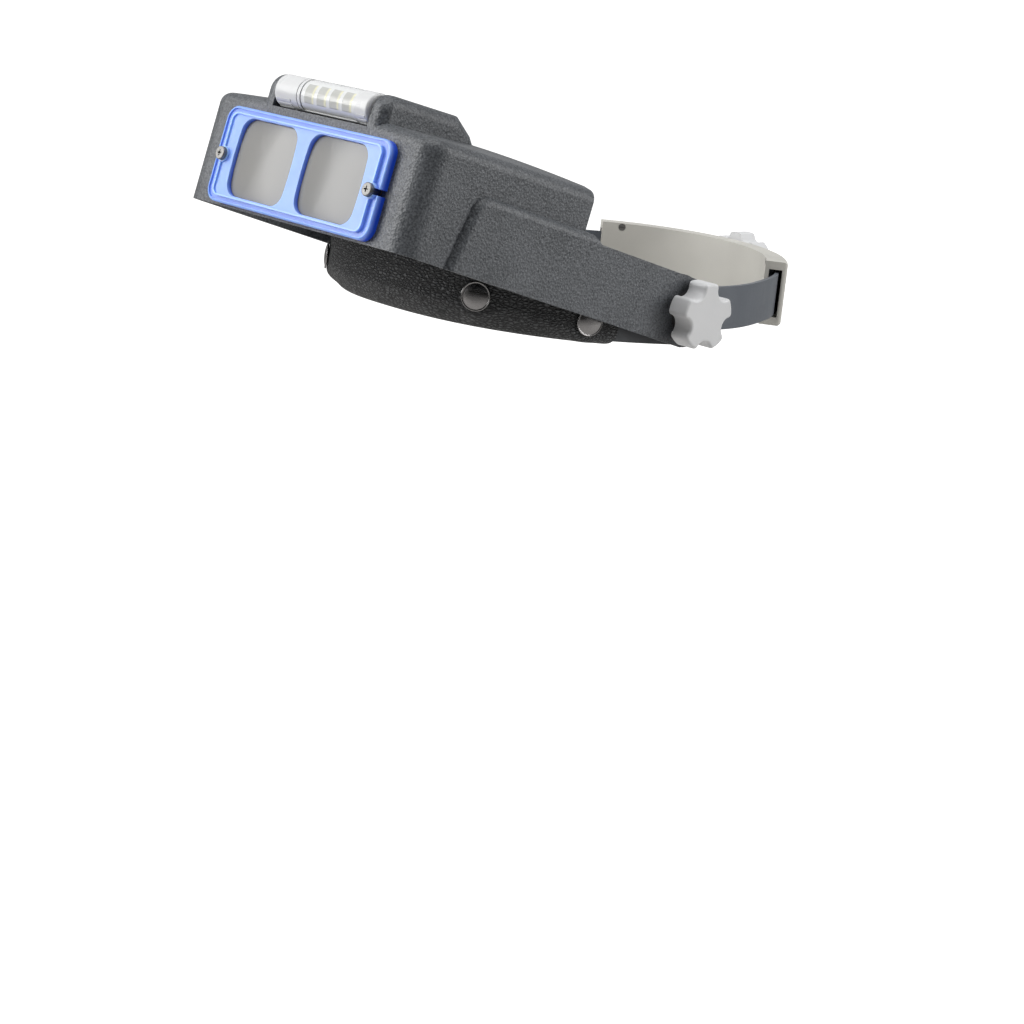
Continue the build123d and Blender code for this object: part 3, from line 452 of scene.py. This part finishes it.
def band_plan(angle):
    """Point and outward normal of the band's outer face in plan, at an angle from the forehead."""
    s, c = abs(math.sin(angle)), math.cos(angle)
    x = BAND_HALF * s ** (2 / BAND_POWER)
    y = BAND_DEPTH * max(c, 0) ** (2 / BAND_POWER)
    normal = Vector((
        math.copysign(x ** (BAND_POWER - 1) / BAND_HALF ** BAND_POWER, angle),
        -(y ** (BAND_POWER - 1)) / BAND_DEPTH ** BAND_POWER,
        0,
    )).normalized()
    return Vector((math.copysign(x, angle), BAND_MIDDLE_Y - y, 0)), normal


def band_place(angle, out, z):
    """Point of the whole part, out from the band's outer face and z above its middle line."""
    point, normal = band_plan(angle)
    return Matrix.Rotation(-BAND_RISE, 3, "X") @ (point + normal * out + Vector((0, 0, z)))


def band_angle(y):
    """The angle at which the band's outer face reaches y."""
    return math.pi / 2 - math.asin(((BAND_MIDDLE_Y - y) / BAND_DEPTH) ** (BAND_POWER / 2))


def smooth(value):
    """Smooth step from 0 to 1."""
    t = min(max(value, 0.0), 1.0)
    return t * t * (3 - 2 * t)


def add_mesh(name, points, faces, finish, body):
    """A new piece with its finish, material slot and body."""
    mesh = bpy.data.meshes.new(name)
    mesh.from_pydata([tuple(p) for p in points], [], faces)
    mesh.materials.append(finish)
    mesh.shade_smooth()
    piece = bpy.data.objects.new(name, mesh)
    bpy.context.scene.collection.objects.link(piece)
    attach(piece, body)
    return piece


def rings_to_faces(count, size):
    """Quads between neighbouring closed rings of the same size."""
    faces = []
    for k in range(count - 1):
        for i in range(size):
            j = (i + 1) % size
            faces.append((k * size + i, k * size + j, (k + 1) * size + j, (k + 1) * size + i))
    return faces


# ------------------------------------------------------------------ snaps
SNAP_SPOTS = [(y, z, side) for y, z in ((-0.0883, -0.0035), (-0.0474, -0.0074)) for side in (1, -1)]
SNAP_PROFILE = [          # radius and height of the cap's outline, in mm: dome, groove, rolled rim
    (0.9, 1.62), (1.9, 1.56), (2.9, 1.43), (3.8, 1.22), (4.6, 0.95), (5.2, 0.72), (5.45, 0.66),
    (5.55, 0.74), (5.70, 0.84), (5.86, 0.84), (6.0, 0.72), (6.1, 0.45), (6.0, 0.08),
]
SNAP_STEPS = 48           # points in each ring of the cap
SNAP_TOP = 0.00165        # height of the dome's middle
SNAP_FOOT = 0.00008       # height of the cap's closed underside


def make_snap(index, y, z, side):
    """Nickel cap with a low dome and a rolled rim, on the leather."""
    angle = side * band_angle(y)
    middle = band_place(angle, LEATHER, z)
    out = (band_place(angle, LEATHER + 0.01, z) - middle).normalized()
    up = (band_place(angle, LEATHER, z + 0.01) - middle).normalized()
    across = out.cross(up)
    points = []
    for radius, height in SNAP_PROFILE:
        for k in range(SNAP_STEPS):
            turn = 2 * math.pi * k / SNAP_STEPS
            spoke = across * math.cos(turn) + up * math.sin(turn)
            points.append(middle + (spoke * radius + out * height) / 1000)
    top = len(points)
    points.append(middle + out * SNAP_TOP)
    points.append(middle + out * SNAP_FOOT)
    last = (len(SNAP_PROFILE) - 1) * SNAP_STEPS
    faces = rings_to_faces(len(SNAP_PROFILE), SNAP_STEPS)
    faces += [(top, (k + 1) % SNAP_STEPS, k) for k in range(SNAP_STEPS)]
    faces += [(top + 1, last + k, last + (k + 1) % SNAP_STEPS) for k in range(SNAP_STEPS)]
    return add_mesh(f"snap_cap_{index}", points, faces, finishes["snap_metal"], "headband")


# ------------------------------------------------------------------ comfort pad
PAD_TOP = 0.0172
PAD_LOW = -0.0168
PAD_END_Y = -0.029
PAD_INNER = -0.0088       # inner face of the pad, from the band's outer face
PAD_CROWN = 0.0002        # the outer face bows out by this much
ROLL_SIDE = 0.0037        # the lower edge rolls in by this much beside the head
ROLL_MORE = 0.0073        # and by this much more at the forehead
ROLL_ABOVE = 0.0012       # the roll starts this far above the band's lower edge
LEAST_THICKNESS = 0.0022  # of the pad at its lower edge
LOWER_TURN = 0.003        # height of the turn at the lower rear edge
UPPER_TURN = 0.0042       # height of the round upper edge
SHOULDER = 0.0045         # the outer face ends this far below the pad's top
SWELL = 0.0009            # the inner face bows in by this much
FLAT_STEPS, ROLL_STEPS, TURN_STEPS, INNER_STEPS, UPPER_STEPS = 10, 14, 5, 12, 8
PAD_STATIONS = 110
HALF_LENGTH = 0.11        # roughly half the pad's length, for rounding its ends
END_ROUND = 0.0045        # length over which each end closes
SNAP_SEAT = 0.0062        # round each snap the leather is held down to this radius
SNAP_FADE = 0.0055        # and rises freely this much further out
PUCKER_REACH = 0.0078     # radius of the pucker round a snap
PUCKER_WIDTH = 0.0016     # its width, as the spread of a bell curve
PUCKER_DEPTH = 0.0003     # its depth at that radius
WRINKLE_LIFT = 0.00022    # most that the small waves near the lower roll lift the leather
PAD_RADIUS = 0.08         # rough radius of the pad's curve, for lengths along it
BAND_LOW_SIDE = -0.015    # height of the band's lower edge beside the head
BAND_LOW_FRONT = -0.0085  # and at the forehead
BAND_LIFT_FROM = (0.044, -0.016)  # the edge's slope passes here, as distance ahead and height
BAND_LIFT = (0.032, 0.0075)       # and rises by the second number over the first


def band_low(angle):
    """Height of the band's lower edge, which rises at the forehead; the pad rolls in under it."""
    ahead = -band_plan(angle)[0].y
    slope = BAND_LIFT_FROM[1] + BAND_LIFT[1] * (ahead - BAND_LIFT_FROM[0]) / BAND_LIFT[0]
    return max(BAND_LOW_SIDE, min(BAND_LOW_FRONT, slope))


def pad_section(angle):
    """Closed section of the pad at an angle, as pairs of out and z: crowned, with rolled edges."""
    facing = -band_plan(angle)[1].y
    roll = ROLL_SIDE + ROLL_MORE * facing
    roll_from = band_low(angle) + ROLL_ABOVE
    face = LEATHER - PAD_CROWN
    pairs = []
    for k in range(FLAT_STEPS + 1):                # outer face, downwards
        z = PAD_TOP - SHOULDER + (roll_from - PAD_TOP + SHOULDER) * k / FLAT_STEPS
        pairs.append((face + PAD_CROWN * math.sin(math.pi * k / FLAT_STEPS), z))
    for k in range(1, ROLL_STEPS + 1):             # rolls in under the band
        turn = math.pi / 2 * k / ROLL_STEPS
        u = math.sin(turn)
        inward = 0.5 * u + 0.5 * (1 - math.cos(turn))
        pairs.append((face - roll * inward, roll_from + (PAD_LOW - roll_from) * u))
    end_out = pairs[-1][0]
    inner = min(PAD_INNER, end_out - LEAST_THICKNESS)
    for k in range(1, TURN_STEPS + 1):             # tight turn at the lower rear edge
        turn = math.pi / 2 * k / TURN_STEPS
        z = PAD_LOW + LOWER_TURN * (1 - math.cos(turn))
        pairs.append((end_out + (inner - end_out) * math.sin(turn), z))
    for k in range(1, INNER_STEPS):                # crowned inner face, upwards
        z = PAD_LOW + LOWER_TURN + (PAD_TOP - PAD_LOW - 2 * LOWER_TURN) * k / INNER_STEPS
        back = inner + (PAD_INNER - inner) * smooth(k / 5)
        pairs.append((back - SWELL * math.sin(math.pi * k / INNER_STEPS), z))
    middle = (PAD_INNER + LEATHER) / 2
    half = (face - PAD_INNER) / 2
    for k in range(UPPER_STEPS + 1):               # round upper edge
        turn = math.pi * k / UPPER_STEPS
        z = PAD_TOP - UPPER_TURN + UPPER_TURN * math.sin(turn)
        pairs.append((middle - half * math.cos(turn), z))
    return pairs[:-1]


def wrinkle(angle, z, along):
    """How far soft puckers near the lower roll lift the leather, at a length along the pad."""
    low = smooth((band_low(angle) + 0.005 - z) / 0.008)
    waves = math.sin(along * 410 + 2.1 * math.sin(angle * 5)) * math.sin(along * 173 + 1.3)
    return WRINKLE_LIFT * low * waves


def held_down(out, z, point, snaps):
    """Place of the leather's face out from the band, with the seats and puckers of the snaps."""
    for snap_point, snap_z in snaps:
        reach = math.hypot((snap_point - point).length, z - snap_z)
        held = 1 - smooth((reach - SNAP_SEAT) / SNAP_FADE)
        out += (LEATHER - out) * held
        out -= PUCKER_DEPTH * math.exp(-((reach - PUCKER_REACH) / PUCKER_WIDTH) ** 2)
    return out


def make_pad():
    """The padded leather cover over foam, wrapped round the front of the band."""
    last = band_angle(PAD_END_Y)
    middle = (PAD_INNER + LEATHER) / 2
    snaps = [(band_plan(side * band_angle(y))[0], z) for y, z, side in SNAP_SPOTS]
    points = []
    for k in range(PAD_STATIONS + 1):
        share = -1 + 2 * k / PAD_STATIONS
        angle = last * share
        point = band_plan(angle)[0]
        along = math.atan2(point.x, -point.y) * PAD_RADIUS
        left = (1 - abs(share)) * HALF_LENGTH      # length left to the pad's end
        fullness = math.sqrt(1 - (1 - min(left / END_ROUND, 1.0)) ** 2) * 0.97 + 0.03
        for out, z in pad_section(angle):
            if out > middle:
                out = held_down(out + wrinkle(angle, z, along), z, point, snaps)
            out = middle + (out - middle) * fullness
            points.append(band_place(angle, out, z * (0.80 + 0.20 * fullness)))
    size = len(points) // (PAD_STATIONS + 1)
    faces = rings_to_faces(PAD_STATIONS + 1, size)
    faces.append(tuple(range(size)))
    faces.append(tuple(reversed(range(PAD_STATIONS * size, (PAD_STATIONS + 1) * size))))
    pad = add_mesh("comfort_pad", points, faces, finishes["pad_leather"], "headband")
    refine = pad.modifiers.new("refine", "SUBSURF")
    refine.levels = 1
    refine.render_levels = 1
    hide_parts("comfort_pad_cover", "comfort_pad_foam")


# ------------------------------------------------------------------ lenses
LENS_STEPS = 96
LENS_POWER = 6.5          # roundness of the outline's corners, between an ellipse and a box
RIM_THICKNESS = 0.0011
RIM_SCALE = 1.04          # the rim's size, to the window's
RIM_LIP = 0.00095         # from the rim of the CAD lens in to the lens's body
DOME_RADIUS = 0.140
DOME_RINGS = 12


def lens_directions():
    """Unit vectors across, up and out of the lens plate, from its two screws."""
    left = joint_named("plate_screw_left_turn")
    right = joint_named("plate_screw_right_turn")
    out = Vector(left["axis"]).normalized()
    across = (Vector(left["pos_m"]) - Vector(right["pos_m"])).normalized()
    return across, out.cross(across), out


def lens_ring(half, scale):
    """Points x and z of the lens's outline about its middle, at a scale."""
    ring = []
    for k in range(LENS_STEPS):
        turn = 2 * math.pi * (k + 0.5) / LENS_STEPS
        c, s = math.cos(turn), math.sin(turn)
        x = math.copysign(half[0] * abs(c) ** (2 / LENS_POWER), c) * scale
        z = math.copysign(half[1] * abs(s) ** (2 / LENS_POWER), s) * scale
        ring.append((x, z))
    return ring


def make_lens(side):
    """Domed lens: a rim in the plate's seat and a body that fills the window."""
    node = f"lens_{side}"
    across, up, out = lens_directions()
    low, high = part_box(node)
    middle = (Vector(low) + Vector(high)) / 2
    places = [nodes[node].matrix_world @ v.co - middle for v in nodes[node].data.vertices]
    back = min(p.dot(out) for p in places)
    front = max(p.dot(out) for p in places)
    half = [max(abs(p.dot(d)) for p in places) - RIM_LIP for d in (across, up)]
    points = []
    for scale, height in ((0.5, 0), (RIM_SCALE, 0), (RIM_SCALE, RIM_THICKNESS), (1, RIM_THICKNESS)):
        for x, z in lens_ring(half, scale):
            points.append(middle + across * x + up * z + out * (back + height))
    for k in range(DOME_RINGS):
        for x, z in lens_ring(half, 1 - k / DOME_RINGS):
            height = front - (x * x + z * z) / (2 * DOME_RADIUS)
            points.append(middle + across * x + up * z + out * height)
    rings = len(points) // LENS_STEPS
    last = (rings - 1) * LENS_STEPS
    front_point = len(points)
    points.append(middle + out * front)
    points.append(middle + out * back)
    faces = rings_to_faces(rings, LENS_STEPS)
    faces += [(front_point, last + k, last + (k + 1) % LENS_STEPS) for k in range(LENS_STEPS)]
    faces += [(front_point + 1, (k + 1) % LENS_STEPS, k) for k in range(LENS_STEPS)]
    lens = add_mesh(f"lens_painted_grey_{side}", points, faces, finishes["lens_acrylic"], "visor")
    lens.data.set_sharp_from_angle(angle=math.radians(35))
    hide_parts(node)


# ------------------------------------------------------------------ size straps
STRAP_FOLLOWS_BAND = 0.013    # ahead of this y the strap follows the forehead band
STRAP_FOLLOWS_CASE = 0.095    # behind this y it follows the rear adjuster
STRAP_CUTS = 30
STRAP_EDGE = 0.0004           # width of its softened edges


def make_strap(side):
    """Size strap with softened edges, cut across often enough to follow the size slide."""
    source = nodes[f"size_strap_{side}"]
    cut = bmesh.new()
    cut.from_mesh(source.data)
    bmesh.ops.remove_doubles(cut, verts=cut.verts, dist=1e-6)
    bmesh.ops.dissolve_limit(cut, angle_limit=math.radians(0.5), verts=cut.verts, edges=cut.edges)
    for k in range(STRAP_CUTS + 1):
        y = STRAP_FOLLOWS_BAND + (STRAP_FOLLOWS_CASE - STRAP_FOLLOWS_BAND) * k / STRAP_CUTS
        everything = list(cut.verts) + list(cut.edges) + list(cut.faces)
        bmesh.ops.bisect_plane(cut, geom=everything, plane_co=(0, y, 0), plane_no=(0, 1, 0))
    mesh = bpy.data.meshes.new(f"strap_{side}")
    cut.to_mesh(mesh)
    cut.free()
    mesh.materials.append(finishes["strap_plastic"])
    piece = bpy.data.objects.new(f"strap_{side}", mesh)
    bpy.context.scene.collection.objects.link(piece)
    soften = piece.modifiers.new("soften", "BEVEL")
    soften.width = STRAP_EDGE
    soften.segments = 2
    soften.limit_method = "ANGLE"
    soften.angle_limit = math.radians(50)
    mesh.shade_smooth()
    mesh.set_sharp_from_angle(angle=math.radians(35))
    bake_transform(piece)
    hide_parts(f"size_strap_{side}")


snap_caps = [make_snap(k + 1, *spot) for k, spot in enumerate(SNAP_SPOTS)]
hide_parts("snap_caps")
make_pad()
for side in ("left", "right"):
    make_lens(side)
    make_strap(side)
